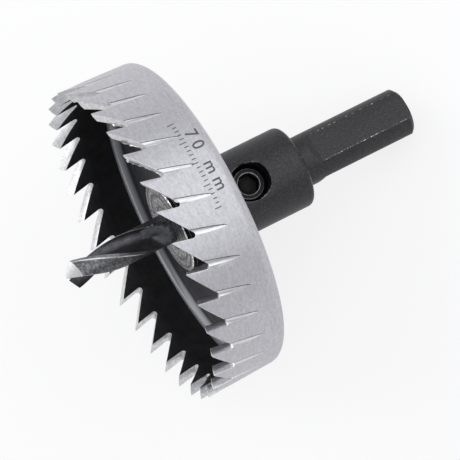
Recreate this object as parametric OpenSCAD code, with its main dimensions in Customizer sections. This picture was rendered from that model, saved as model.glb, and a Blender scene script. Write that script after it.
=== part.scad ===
// Hole saw on its arbor, with the pilot drill and the set screw, lying as it comes to rest.
// All sizes are in millimetres and degrees.
// Along the tool's own axis, 0 is the plane of the tooth tips and depths grow toward the shank.
// Angles round the axis start at the side that lies up and grow toward the front.

/* [Cup] */
// diameter over the tooth tips
cup_d = 70; // [56:0.5:90]
// depth from the tooth tips to the back face
cup_h = 17.7; // [16.5:0.1:40]
// thickness of the wall at the teeth
cup_wall = 2.25; // [1.8:0.05:3]
// thickness of the base
cup_base = 3.3; // [2.5:0.1:4.2]
// how much smaller the radius is at the back corner than at the teeth
cup_taper = 0.55; // [0.2:0.05:0.9]
// radius of the back corner
cup_corner_r = 2.4; // [1:0.1:3.2]
// radius between the inside of the wall and the floor
cup_fillet_r = 2.2; // [1:0.1:3]

/* [Teeth] */
// number of teeth
tooth_count = 32; // [26:1:38]
// forward lean of the cutting face
hook_angle = 12.5; // [5:0.5:16]
// slope of the back of a tooth
back_angle = 36.4; // [34:0.2:42]
// narrow flat left on each tip
tooth_land = 0.25; // [0.1:0.05:0.5]
// radius at the bottom of a gullet
gullet_r = 0.63; // [0.4:0.01:0.9]
// inward slope of the tips and gullets
tooth_slope = 15.5; // [8:0.5:20]

/* [Ground run-outs behind the gullets] */
// radius of the tool that leaves the groove
runout_r = 0.8; // [0.6:0.05:1.1]
// depth of the groove at the bottom of the gullet
runout_cut = 0.26; // [0.15:0.01:0.4]
// length of the groove below the gullet
runout_l = 6; // [3:0.1:7]
// lean of the groove from the axis
runout_lean = 13.6; // [8:0.2:16]

/* [Arbor] */
// diameter of the front flange inside the cup
flange_d = 20; // [19:0.1:26]
// thickness of the front flange
flange_t = 5; // [3:0.1:7]
// chamfer round the face of the flange
flange_chamfer = 0.22; // [0.1:0.02:0.4]
// width of the groove under the rim of the flange
rim_groove_w = 0.75; // [0.4:0.05:1.2]
// depth of the groove under the rim of the flange
rim_groove_cut = 0.35; // [0.15:0.05:0.7]
// diameter of the body behind the cup
body_d = 18; // [16.5:0.1:18.6]
// length of the body behind the cup
body_l = 21.9; // [19:0.1:30]
// radius round the end of the body
body_corner_r = 1.3; // [0.5:0.1:2]
// diameter of the shank
shank_d = 11; // [9.5:0.1:12.5]
// length of the shank
shank_l = 26.6; // [20:0.1:40]
// round neck in front of the flats
neck_l = 2.7; // [1:0.1:5]
// depth of each of the three flats
flat_cut = 1.03; // [0.5:0.01:1.3]
// slope at the front end of each flat
flat_ramp = 30; // [20:1:45]
// chamfer at the end of the shank
shank_chamfer = 0.9; // [0.4:0.05:1.5]

/* [Pilot drill] */
// diameter of the drill
drill_d = 6.5; // [5.5:0.1:7.5]
// whole length of the drill
drill_l = 50; // [48:0.5:52.5]
// how far the point stands out past the tooth tips
drill_reach = 14.8; // [12:0.1:17]
// depth at which the flutes end inside the arbor
flute_end = 16; // [13:0.5:19]
// full angle of the point
point_angle = 118; // [110:1:135]
// length in which a flute turns once round
flute_lead = 50; // [36:1:70]
// part of a half turn that a land takes, in degrees
land_angle = 80; // [70:1:92]
// thickness of the web between the flutes
web_t = 1.3; // [0.9:0.05:1.6]
// width of the guiding strip along each land
margin_w = 0.68; // [0.4:0.02:1]
// how much lower the land lies behind that strip
margin_cut = 0.18; // [0.08:0.01:0.3]
// clearance behind the cutting lips
lip_relief = 12; // [8:0.5:15]
// turn of the cutting lips from the side that lies up
drill_turn = -63; // [-180:0.5:180]

/* [Set screw] */
// thread diameter of the screw
screw_d = 8; // [6.5:0.1:9]
// length of the screw
screw_l = 4; // [3:0.1:4.8]
// distance from the back of the cup to the axis of the screw
screw_at = 9.45; // [7.5:0.05:12]
// turn of the screw from the side that lies up
screw_turn = 9.6; // [-30:0.2:30]
// size across the flats of the socket
socket_af = 4; // [3:0.1:5]
// depth of the socket
socket_cut = 2.4; // [1.5:0.1:2.8]
// depth of the flat ground on the drill under the screw
seat_cut = 0.95; // [0.5:0.05:1.4]

/* [Clearances] */
// gap round the body in the bore of the cup
body_gap = 0.02; // [0.01:0.01:0.05]
// gap round the drill in its bore
drill_gap = 0.05; // [0.02:0.01:0.1]
// gap round the set screw in its hole
screw_gap = 0.05; // [0.02:0.01:0.1]

/* [Hidden] */
$fn = 96;

cup_r = cup_d / 2;
inner_r = cup_r - cup_wall;
back_r = cup_r - cup_taper;
floor_at = cup_h - cup_base;
corner_at = cup_h - cup_corner_r;
flange_at = floor_at - flange_t;
body_end = cup_h + body_l;
shank_end = body_end + shank_l;
shank_r = shank_d / 2;
flat_r = shank_r - flat_cut;
drill_r = drill_d / 2;
drill_end = drill_l - drill_reach;
screw_depth = cup_h + screw_at;
seat_r = drill_r - seat_cut;
screw_face = seat_r + screw_l;

// The cup's back corner and the shank's end both touch the surface that the tool lies on.
rest_run = shank_end - shank_chamfer - corner_at;
rest_rise = back_r - cup_corner_r - shank_r;
rest_tilt = atan(rest_rise / rest_run)
    + asin(cup_corner_r / sqrt(rest_run * rest_run + rest_rise * rest_rise));
rest_z = (shank_end - shank_chamfer) * sin(rest_tilt) + shank_r * cos(rest_tilt);
// The middle of its length stands over the origin.
rest_x = (cup_r * sin(rest_tilt) - shank_end * cos(rest_tilt) - flat_r * sin(rest_tilt)) / 2;

// Radius of the cup's outside at a depth.
function wall_r(depth) = cup_r - cup_taper * depth / corner_at;

// A tooth gap seen from outside, from one tip to the next: the back of a tooth falls to the
// gullet, and the cutting face of the next tooth rises from it.
pitch_angle = 360 / tooth_count;
pitch_w = 2 * cup_r * sin(pitch_angle / 2);
back_rise = tan(back_angle);
hook_run = tan(hook_angle);
meet_depth = (pitch_w - tooth_land) / (1 / back_rise - hook_run);
meet_w = tooth_land + meet_depth / back_rise;
half_mouth = (90 - hook_angle - back_angle) / 2;
gullet_turn = back_angle + half_mouth;
gullet_off = gullet_r / sin(half_mouth);
gullet_x = meet_w - gullet_off * cos(gullet_turn);
gullet_y = meet_depth - gullet_off * sin(gullet_turn);
gullet_depth = gullet_y + gullet_r;
gullet_steps = 8;
function gullet_point(i, a) = [gullet_x + gullet_r * cos(a), gullet_y + gullet_r * sin(a)];
gullet_arc = [
    for (i = [0 : gullet_steps])
        gullet_point(i, 90 + back_angle - i * (180 - 2 * half_mouth) / gullet_steps)
];
over = 2;
gap_outline = concat(
    [[pitch_w - hook_run * over, -over], [tooth_land - over / back_rise, -over]],
    gullet_arc
);

// Places something drawn along the tool's own axis where the tool lies.
module laid_down() {
    translate([rest_x, 0, rest_z])
        rotate([0, 90 + rest_tilt, 0])
            rotate([0, 0, 180])
                children();
}

// Outline of the cup on one side of the axis, across and along.
module cup_outline() {
    bore_r = body_d / 2 + body_gap;
    difference() {
        union() {
            polygon([
                [bore_r, 0],
                [cup_r, 0],
                [back_r, corner_at],
                [back_r - cup_corner_r, corner_at],
                [back_r - cup_corner_r, cup_h],
                [bore_r, cup_h]
            ]);
            translate([back_r - cup_corner_r, corner_at]) circle(r = cup_corner_r);
        }
        translate([0, -over]) square([inner_r, over + floor_at - cup_fillet_r]);
        translate([0, -over]) square([inner_r - cup_fillet_r, over + floor_at]);
        translate([inner_r - cup_fillet_r, floor_at - cup_fillet_r]) circle(r = cup_fillet_r);
        // the mouth slopes inward from the outer edge
        polygon([
            [0, -over],
            [cup_r + over, -over],
            [cup_r + over, -over * tan(tooth_slope)],
            [cup_r, 0],
            [0, cup_r * tan(tooth_slope)]
        ]);
    }
}

// One tooth gap, cut straight through the wall and deeper toward the inside.
module tooth_gap() {
    reach_in = 2.2 * cup_wall;
    translate([cup_r * cos(pitch_angle / 2), 0, 0])
        rotate([0, tooth_slope, 0])
            rotate([90, 0, 90])
                translate([0, 0, -reach_in])
                    linear_extrude(height = reach_in + over)
                        polygon([
                            for (p = gap_outline)
                                [p[0] - pitch_w / 2, p[1] * cos(tooth_slope)]
                        ]);
}

// One shallow groove that runs on from a gullet and comes out of the wall.
module ground_runout() {
    out_at = gullet_depth + runout_l;
    out_r = wall_r(out_at) + runout_r;
    gullet_side_r = wall_r(gullet_depth) + runout_r - runout_cut;
    sink = atan((out_r - gullet_side_r) / runout_l);
    out_w = gullet_x - gullet_r / 2 + runout_l * tan(runout_lean);
    out_turn = 180 / PI * out_w / cup_r - pitch_angle / 2;
    groove_l = (runout_l + 1.5) / cos(runout_lean);
    rotate([0, 0, out_turn])
        translate([out_r, 0, out_at])
            rotate([-runout_lean, sink, 0])
                translate([0, 0, -groove_l])
                    linear_extrude(height = groove_l + 1)
                        polygon([
                            for (a = [90 : 12 : 270])
                                [runout_r * cos(a), runout_r * sin(a)]
                        ]);
}

module saw_cup() {
    first_gap = 15.9;
    color("silver")
        laid_down()
            rotate([0, 0, first_gap])
                difference() {
                    rotate_extrude() cup_outline();
                    for (i = [0 : tooth_count - 1])
                        rotate([0, 0, i * pitch_angle]) {
                            tooth_gap();
                            ground_runout();
                        }
                }
}

// Outline of the turned arbor on one side of the axis, across and along.
module arbor_outline() {
    groove_at = flange_at + flange_chamfer;
    body_r = body_d / 2;
    difference() {
        union() {
            polygon([
                [0, flange_at],
                [flange_d / 2 - flange_chamfer, flange_at],
                [flange_d / 2, groove_at],
                [flange_d / 2, floor_at],
                [body_r, floor_at],
                [body_r, body_end - body_corner_r],
                [body_r - body_corner_r, body_end - body_corner_r],
                [body_r - body_corner_r, body_end],
                [shank_r, body_end],
                [shank_r, shank_end - shank_chamfer],
                [shank_r - shank_chamfer, shank_end],
                [0, shank_end]
            ]);
            translate([body_r - body_corner_r, body_end - body_corner_r])
                circle(r = body_corner_r);
        }
        translate([flange_d / 2 - rim_groove_cut, groove_at])
            square([rim_groove_cut + 1, rim_groove_w]);
    }
}

// What a mill takes off the shank for one flat, with the slope at its front end.
module shank_flat() {
    flat_start = body_end + neck_l;
    ramp_l = flat_cut / tan(flat_ramp);
    rotate([90, 0, 0])
        translate([0, 0, -shank_d])
            linear_extrude(height = 2 * shank_d)
                polygon([
                    [shank_r, flat_start],
                    [flat_r, flat_start + ramp_l],
                    [flat_r, shank_end + 1],
                    [shank_r + 1, shank_end + 1],
                    [shank_r + 1, flat_start - ramp_l / flat_cut]
                ]);
}

module arbor() {
    bore_r = drill_r + drill_gap;
    hole_r = screw_d / 2 + screw_gap;
    color("dimgray")
        laid_down()
            difference() {
                rotate_extrude() arbor_outline();
                for (i = [0 : 2])
                    rotate([0, 0, 120 * i]) shank_flat();
                // blind bore for the drill, with the cone that a drill leaves
                translate([0, 0, flange_at - 1])
                    cylinder(h = drill_end - flange_at + 1, r = bore_r);
                translate([0, 0, drill_end])
                    cylinder(h = bore_r / tan(point_angle / 2), r1 = bore_r, r2 = 0);
                // cross hole for the set screw, from the bore out
                rotate([0, 0, screw_turn])
                    translate([seat_r - 0.3, 0, screw_depth])
                        rotate([0, 90, 0])
                            cylinder(h = body_d / 2, r = hole_r);
            }
}

// Cross-section of the fluted part, one half of it: guiding strip, land, flute and lip line.
fluted_r = drill_r - 0.01;
land_r = fluted_r - margin_cut;
margin_angle = 180 / PI * margin_w / drill_r;
lip_turn = asin(web_t / 2 / fluted_r);
lip_l = fluted_r * cos(lip_turn);
web_l = 0.27 * web_t;
heel = land_r * [cos(180 + lip_turn - land_angle), sin(180 + lip_turn - land_angle)];
flute_rise = heel[1] - web_t / 2;
flute_r = (pow(heel[0] - web_l, 2) + flute_rise * flute_rise) / (2 * flute_rise);
flute_y = web_t / 2 + flute_r;
heel_turn = 360 - acos((heel[0] - web_l) / flute_r);
flute_steps = 8;
land_steps = 5;
lip_steps = 3;

// Each entry is an angle past the leading edge, a radius, and the depth behind the point.
point_rise = 1 / tan(point_angle / 2);
function behind(a, r) = r * point_rise * cos(lip_turn) + tan(lip_relief) * r * a * PI / 180;
function from_flute(p) = 180 + lip_turn - atan2(p[1], p[0]);
function flute_spot(a) = [web_l + flute_r * cos(a), flute_y - flute_r * sin(a)];
land_part = concat(
    [for (i = [0 : 2]) let(a = margin_angle * i / 2) [a, fluted_r, behind(a, fluted_r)]],
    [
        for (i = [0 : land_steps - 1])
            let(a = margin_angle + 2 + (land_angle - margin_angle - 2) * i / (land_steps - 1))
                [a, land_r, behind(a, land_r)]
    ]
);
flute_part = [
    for (i = [1 : flute_steps - 1])
        let(p = flute_spot(360 - heel_turn + (heel_turn - 270) * i / flute_steps))
            let(a = from_flute(p), r = norm(p))
                [a, r, behind(a, r)]
];
lip_part = [
    for (i = [0 : lip_steps - 1])
        let(t = web_l + (lip_l - web_l) * i / lip_steps)
            let(p = [t, web_t / 2])
                [from_flute(p), norm(p), t * point_rise]
];
half_section = concat(land_part, flute_part, lip_part);
section = concat(half_section, [for (q = half_section) [q[0] + 180, q[1], q[2]]]);

// Turns with depth, so that the flutes wind round the axis.
function wound(q, depth) =
    let(a = q[0] + drill_turn + 360 * (depth + drill_reach) / flute_lead)
        [q[1] * cos(a), q[1] * sin(a), depth];
fluted_from = -drill_reach + 3.3;
ring_count = ceil((flute_end - fluted_from) / 1.1);
edge_count = len(section);

module fluted_part() {
    rings = [
        for (k = [0 : ring_count])
            let(depth = fluted_from + (flute_end - fluted_from) * k / ring_count)
                for (q = section) wound(q, depth)
    ];
    point_ring = [for (q = section) wound(q, q[2] - drill_reach)];
    tip = [[0, 0, -drill_reach]];
    last = 1 + (ring_count + 1) * edge_count;
    polyhedron(
        points = concat(tip, point_ring, rings),
        faces = concat(
            [for (j = [0 : edge_count - 1]) [0, 1 + j, 1 + (j + 1) % edge_count]],
            [
                for (k = [0 : ring_count])
                    for (j = [0 : edge_count - 1])
                        let(a = 1 + k * edge_count, b = (j + 1) % edge_count)
                            [a + j, a + edge_count + j, a + edge_count + b]
            ],
            [
                for (k = [0 : ring_count])
                    for (j = [0 : edge_count - 1])
                        let(a = 1 + k * edge_count, b = (j + 1) % edge_count)
                            [a + j, a + edge_count + b, a + b]
            ],
            [[for (j = [0 : edge_count - 1]) last + edge_count - 1 - j]]
        )
    );
}

module pilot_drill() {
    seat_l = 1.1 * screw_d;
    color("gray")
        laid_down() {
            fluted_part();
            difference() {
                translate([0, 0, flute_end - 0.5])
                    cylinder(h = drill_end - flute_end + 0.5, r = drill_r);
                rotate([0, 0, screw_turn])
                    translate([seat_r, -drill_r, screw_depth - seat_l / 2])
                        cube([drill_r, drill_d, seat_l]);
            }
        }
}

module set_screw() {
    thread_r = screw_d / 2;
    socket_r = socket_af / 2 / cos(30);
    face_chamfer = 0.115 * screw_d;
    point_chamfer = 0.14 * screw_d;
    color("darkslategray")
        laid_down()
            rotate([0, 0, screw_turn])
                translate([seat_r, 0, screw_depth])
                    rotate([0, 90, 0])
                        difference() {
                            rotate_extrude()
                                polygon([
                                    [0, 0],
                                    [thread_r - point_chamfer, 0],
                                    [thread_r, point_chamfer],
                                    [thread_r, screw_l - face_chamfer],
                                    [thread_r - face_chamfer, screw_l],
                                    [0, screw_l]
                                ]);
                            translate([0, 0, screw_l - socket_cut])
                                cylinder(h = socket_cut + 1, r = socket_r, $fn = 6);
                            translate([0, 0, screw_l - 0.25])
                                cylinder(h = 0.5, r1 = socket_r - 0.2, r2 = socket_r + 0.3);
                        }
}

saw_cup();
arbor();
pilot_drill();
set_screw();
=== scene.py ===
"""Hole saw on its arbor: the dressed model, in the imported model's own frame."""

import logging
import math
import random
from dataclasses import dataclass
from enum import Enum, IntEnum
from typing import Callable, Iterable, Optional, Sequence

import bmesh
import bpy
from mathutils import Matrix, Vector


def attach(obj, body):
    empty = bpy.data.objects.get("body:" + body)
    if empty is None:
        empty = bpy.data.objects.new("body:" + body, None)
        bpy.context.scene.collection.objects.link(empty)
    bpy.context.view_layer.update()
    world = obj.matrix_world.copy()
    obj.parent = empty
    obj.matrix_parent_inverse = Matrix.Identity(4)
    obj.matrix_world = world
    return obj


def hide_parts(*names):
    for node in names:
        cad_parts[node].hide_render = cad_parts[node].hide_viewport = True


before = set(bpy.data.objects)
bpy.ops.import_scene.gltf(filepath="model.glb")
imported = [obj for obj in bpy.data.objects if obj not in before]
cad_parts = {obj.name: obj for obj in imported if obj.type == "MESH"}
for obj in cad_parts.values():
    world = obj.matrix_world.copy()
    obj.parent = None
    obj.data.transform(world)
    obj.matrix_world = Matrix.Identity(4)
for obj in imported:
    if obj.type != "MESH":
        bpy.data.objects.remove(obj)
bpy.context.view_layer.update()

log = logging.getLogger("hole_saw")

Point = tuple[float, float]
Corner = tuple[float, float, float]
Shape = bmesh.types.BMesh
Edge = bmesh.types.BMEdge
Face = bmesh.types.BMFace
Vert = bmesh.types.BMVert
Tree = bpy.types.NodeTree
Socket = bpy.types.NodeSocket
Places = dict[str, Socket]
Materials = dict[str, bpy.types.Material]

# A millimetre in Blender's metres.
MM = 0.001


def spin(degrees: float, axis: str) -> Matrix:
    """Give a turn round one axis."""
    return Matrix.Rotation(math.radians(degrees), 4, axis)


# The tool's own frame: millimetres, Z from the tooth tips toward the shank, X on the side that lies up.
TILT = 30.398024
SHIFT = Vector((-20.825629, 0.0, 37.785984))
TO_ROW = Matrix.Translation(SHIFT) @ spin(90 + TILT, "Y") @ spin(180, "Z")
TO_METRES = Matrix.Scale(MM, 4) @ TO_ROW

# Radii at which a turn becomes a length: the cup's wall, and the middle of its flat faces.
WALL_RADIUS = 35.0
FACE_RADIUS = 8.0

# Where the set screw's hole crosses the tool, and the thread that is cut in it.
SCREW_AT = 27.15
SCREW_TURN = 9.6
THREAD_PITCH = 1.25

# The angle of a drill's point, also of the cone that one leaves at the bottom of a bore.
DRILL_POINT = 118.0


# Materials


class Grain(Enum):
    """Which way the marks of making run on a surface."""

    AROUND = "turned, round the tool's axis"
    RINGS = "faced, in rings on a flat end"
    LENGTHWISE = "drawn or ground along the axis"
    MOTTLED = "ground or etched, in no direction"


def linear(code: str) -> tuple[float, float, float, float]:
    """Turn an sRGB hex colour to the linear values that a shader takes.

    Args:
        code: Colour as six hex digits with a leading hash.

    Returns:
        Red, green, blue and an alpha of 1.
    """
    parts = [int(code[i : i + 2], 16) / 255 for i in (1, 3, 5)]
    return (*[c / 12.92 if c <= 0.04045 else ((c + 0.055) / 1.055) ** 2.4 for c in parts], 1.0)


def fresh_tree(owner: bpy.types.Material | bpy.types.World) -> Tree:
    """Give a material or a world an empty node tree.

    Args:
        owner: The material or the world.

    Returns:
        Its tree.
    """
    owner.use_nodes = True
    owner.node_tree.nodes.clear()
    return owner.node_tree


def add(tree: Tree, kind: str, inputs: Optional[dict] = None, **settings: object) -> bpy.types.Node:
    """Add a node with its settings and its inputs, each a value or another node's output.

    Args:
        tree: Tree that gets the node.
        kind: Blender's name for the kind of node.
        inputs: Socket name or number to a value, or to an output socket to link from.
        **settings: Attributes of the node.

    Returns:
        The new node.
    """
    node = tree.nodes.new(kind)
    for name, value in settings.items():
        setattr(node, name, value)
    for key, value in (inputs or {}).items():
        if isinstance(value, Socket):
            tree.links.new(value, node.inputs[key])
        else:
            node.inputs[key].default_value = value
    return node


@dataclass(frozen=True)
class ToolPlace:
    """Places on the tool's surface as shader values: millimetres in its own frame."""

    tree: Tree

    def outputs(self) -> Places:
        """Make the nodes.

        Returns:
            Sockets named point, x, y, z, radius and turn (radians round the axis).
        """
        turn_back = TO_ROW.to_3x3().inverted()
        mapping = {
            "Vector": add(self.tree, "ShaderNodeTexCoord").outputs["Object"],
            "Scale": (1 / MM,) * 3,
            "Rotation": turn_back.to_euler("XYZ"),
            "Location": -(turn_back @ SHIFT),
        }
        here = add(self.tree, "ShaderNodeMapping", mapping).outputs[0]
        x, y, z = add(self.tree, "ShaderNodeSeparateXYZ", {0: here}).outputs
        flat = add(self.tree, "ShaderNodeCombineXYZ", {0: x, 1: y}).outputs[0]
        radius = add(self.tree, "ShaderNodeVectorMath", {0: flat}, operation="LENGTH").outputs["Value"]
        turn = add(self.tree, "ShaderNodeMath", {0: y, 1: x}, operation="ARCTAN2").outputs[0]
        return {"point": here, "x": x, "y": y, "z": z, "radius": radius, "turn": turn}


@dataclass(frozen=True)
class SteelFinish:
    """A steel surface with the fine marks that its making left.

    The marks are drawn at a real spacing, made coarse enough to show in the render.
    """

    name: str
    base: str
    dark: str
    light: str
    grain: Grain
    across_mm: float = 0.4
    along_mm: float = 12.0
    blotch_mm: float = 4.0
    contrast: float = 0.5
    blotch: float = 0.4
    metallic: float = 1.0
    rough: tuple[float, float] = (0.3, 0.45)
    bump_mm: float = 0.004

    def marks(self, tree: Tree, place: Places) -> Socket:
        """Make the pattern of fine marks.

        Args:
            tree: Tree of the material.
            place: Sockets from ToolPlace.

        Returns:
            A value from 0 to 1.
        """
        fine, slow = 1 / self.across_mm, 1 / self.along_mm
        stretch = {
            Grain.AROUND: (("turn", WALL_RADIUS * slow), ("radius", fine), ("z", fine)),
            Grain.RINGS: (("turn", FACE_RADIUS * slow), ("radius", fine), ("z", slow)),
            Grain.LENGTHWISE: (("x", fine), ("y", fine), ("z", slow)),
            Grain.MOTTLED: (("x", fine), ("y", fine), ("z", fine)),
        }[self.grain]
        scaled = [
            add(tree, "ShaderNodeMath", {0: place[key], 1: by}, operation="MULTIPLY").outputs[0]
            for key, by in stretch
        ]
        vector = add(tree, "ShaderNodeCombineXYZ", dict(enumerate(scaled))).outputs[0]
        pattern = {"Vector": vector, "Scale": 1.0, "Detail": 3.0, "Roughness": 0.6}
        lines = add(tree, "ShaderNodeTexNoise", pattern).outputs["Fac"]
        limits = {0: lines, 1: 0.3, 2: 0.7, 3: 0.0, 4: 1.0}
        return add(tree, "ShaderNodeMapRange", limits, clamp=True).outputs[0]

    def colour(self, tree: Tree, place: Places, marks: Socket) -> Socket:
        """Mix the base colour with the darker marks and the lighter blotches.

        Args:
            tree: Tree of the material.
            place: Sockets from ToolPlace.
            marks: The pattern of fine marks.

        Returns:
            The colour's socket.
        """
        amount = add(tree, "ShaderNodeMath", {0: marks, 1: self.contrast}, operation="MULTIPLY").outputs[0]
        darker = {"Factor": amount, 6: linear(self.base), 7: linear(self.dark)}
        lined = add(tree, "ShaderNodeMix", darker, data_type="RGBA").outputs[2]
        pattern = {"Vector": place["point"], "Scale": 1 / self.blotch_mm, "Detail": 4.0, "Roughness": 0.65}
        cloud = add(tree, "ShaderNodeTexNoise", pattern).outputs["Fac"]
        limits = {0: cloud, 1: 0.42, 2: 0.68, 3: 0.0, 4: self.blotch}
        spread = add(tree, "ShaderNodeMapRange", limits, clamp=True).outputs[0]
        lighter = {"Factor": spread, 6: lined, 7: linear(self.light)}
        return add(tree, "ShaderNodeMix", lighter, data_type="RGBA").outputs[2]

    def build(self) -> bpy.types.Material:
        """Make the material.

        Returns:
            The material, with its node tree.
        """
        made = bpy.data.materials.new(self.name)
        made.diffuse_color = linear(self.base)
        tree = fresh_tree(made)
        place = ToolPlace(tree).outputs()
        marks = self.marks(tree, place)
        satin = {0: marks, 1: 0.0, 2: 1.0, 3: self.rough[0], 4: self.rough[1]}
        relief = {"Height": marks, "Strength": 1.0, "Distance": self.bump_mm * MM}
        look = {
            "Base Color": self.colour(tree, place, marks),
            "Metallic": self.metallic,
            "Roughness": add(tree, "ShaderNodeMapRange", satin).outputs[0],
            "Normal": add(tree, "ShaderNodeBump", relief).outputs[0],
        }
        shader = add(tree, "ShaderNodeBsdfPrincipled", look)
        add(tree, "ShaderNodeOutputMaterial", {"Surface": shader.outputs[0]})
        return made


@dataclass(frozen=True)
class WornFinish(SteelFinish):
    """An edge where the coating has rubbed off in places and bright steel shows."""

    spot_mm: float = 0.6
    bare: float = 0.5

    def colour(self, tree: Tree, place: Places, marks: Socket) -> Socket:
        """Switch between the coating and bare steel in small spots.

        Args:
            tree: Tree of the material.
            place: Sockets from ToolPlace.
            marks: The pattern of fine marks, not used here.

        Returns:
            The colour's socket.
        """
        pattern = {"Vector": place["point"], "Scale": 1 / self.spot_mm, "Detail": 3.0, "Roughness": 0.7}
        spots = add(tree, "ShaderNodeTexNoise", pattern).outputs["Fac"]
        edge = 0.75 - 0.5 * self.bare
        limits = {0: spots, 1: edge - 0.05, 2: edge + 0.08, 3: 0.0, 4: 1.0}
        shown = add(tree, "ShaderNodeMapRange", limits, clamp=True).outputs[0]
        colours = {"Factor": shown, 6: linear(self.base), 7: linear(self.light)}
        return add(tree, "ShaderNodeMix", colours, data_type="RGBA").outputs[2]


@dataclass(frozen=True)
class PaintedHighlightFinish(SteelFinish):
    """A turned round with a painted highlight: a light line at one side that fades away from it."""

    line_at_mm: float = 0.0
    line_mm: float = 0.5
    fade_to_mm: float = 1.0
    middle: str = "#808080"

    def colour(self, tree: Tree, place: Places, marks: Socket) -> Socket:
        """Fade the painted highlight along the depth and lay the fine marks over it.

        Args:
            tree: Tree of the material.
            place: Sockets from ToolPlace.
            marks: The pattern of fine marks.

        Returns:
            The colour's socket.
        """
        # Painted highlight: light at the wall's side of the round, fading through a middle grey to the
        # base's colour.
        limits = {0: place["z"], 1: self.line_at_mm, 2: self.fade_to_mm, 3: 0.0, 4: 1.0}
        share = add(tree, "ShaderNodeMapRange", limits, clamp=True).outputs[0]
        ramp = add(tree, "ShaderNodeValToRGB", {0: share})
        line_end = self.line_mm / (self.fade_to_mm - self.line_at_mm)
        ramp.color_ramp.elements[0].color = linear(self.light)
        ramp.color_ramp.elements[1].color = linear(self.base)
        for at, code in ((line_end, self.light), (line_end * 1.6, self.middle)):
            ramp.color_ramp.elements.new(at).color = linear(code)
        half = {0: marks, 1: self.contrast * 0.5}
        amount = add(tree, "ShaderNodeMath", half, operation="MULTIPLY").outputs[0]
        colours = {"Factor": amount, 6: ramp.outputs[0], 7: linear(self.dark)}
        return add(tree, "ShaderNodeMix", colours, data_type="RGBA").outputs[2]


@dataclass(frozen=True)
class RingedFinish(SteelFinish):
    """A faced end with dark rings where the turning tool dwelt."""

    rings_mm: tuple[float, ...] = ()
    ring_mm: float = 0.3
    sway_mm: float = 1.6

    def colour(self, tree: Tree, place: Places, marks: Socket) -> Socket:
        """Darken the plain colour along each ring, with a ragged edge.

        Args:
            tree: Tree of the material.
            place: Sockets from ToolPlace.
            marks: The pattern of fine marks.

        Returns:
            The colour's socket.
        """
        colour = super().colour(tree, place, marks)
        pattern = {"Vector": place["point"], "Scale": 1.6, "Detail": 4.0, "Roughness": 0.7}
        ragged = add(tree, "ShaderNodeTexNoise", pattern).outputs["Fac"]
        sway = {0: ragged, 1: self.sway_mm, 2: place["radius"]}
        swayed = add(tree, "ShaderNodeMath", sway, operation="MULTIPLY_ADD").outputs[0]
        for ring in self.rings_mm:
            reach = {0: swayed, 1: ring + self.sway_mm / 2, 2: self.ring_mm}
            near = add(tree, "ShaderNodeMath", reach, operation="COMPARE").outputs[0]
            part = add(tree, "ShaderNodeMath", {0: near, 1: 0.75}, operation="MULTIPLY").outputs[0]
            colours = {"Factor": part, 6: colour, 7: linear(self.dark)}
            colour = add(tree, "ShaderNodeMix", colours, data_type="RGBA").outputs[2]
        return colour


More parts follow.
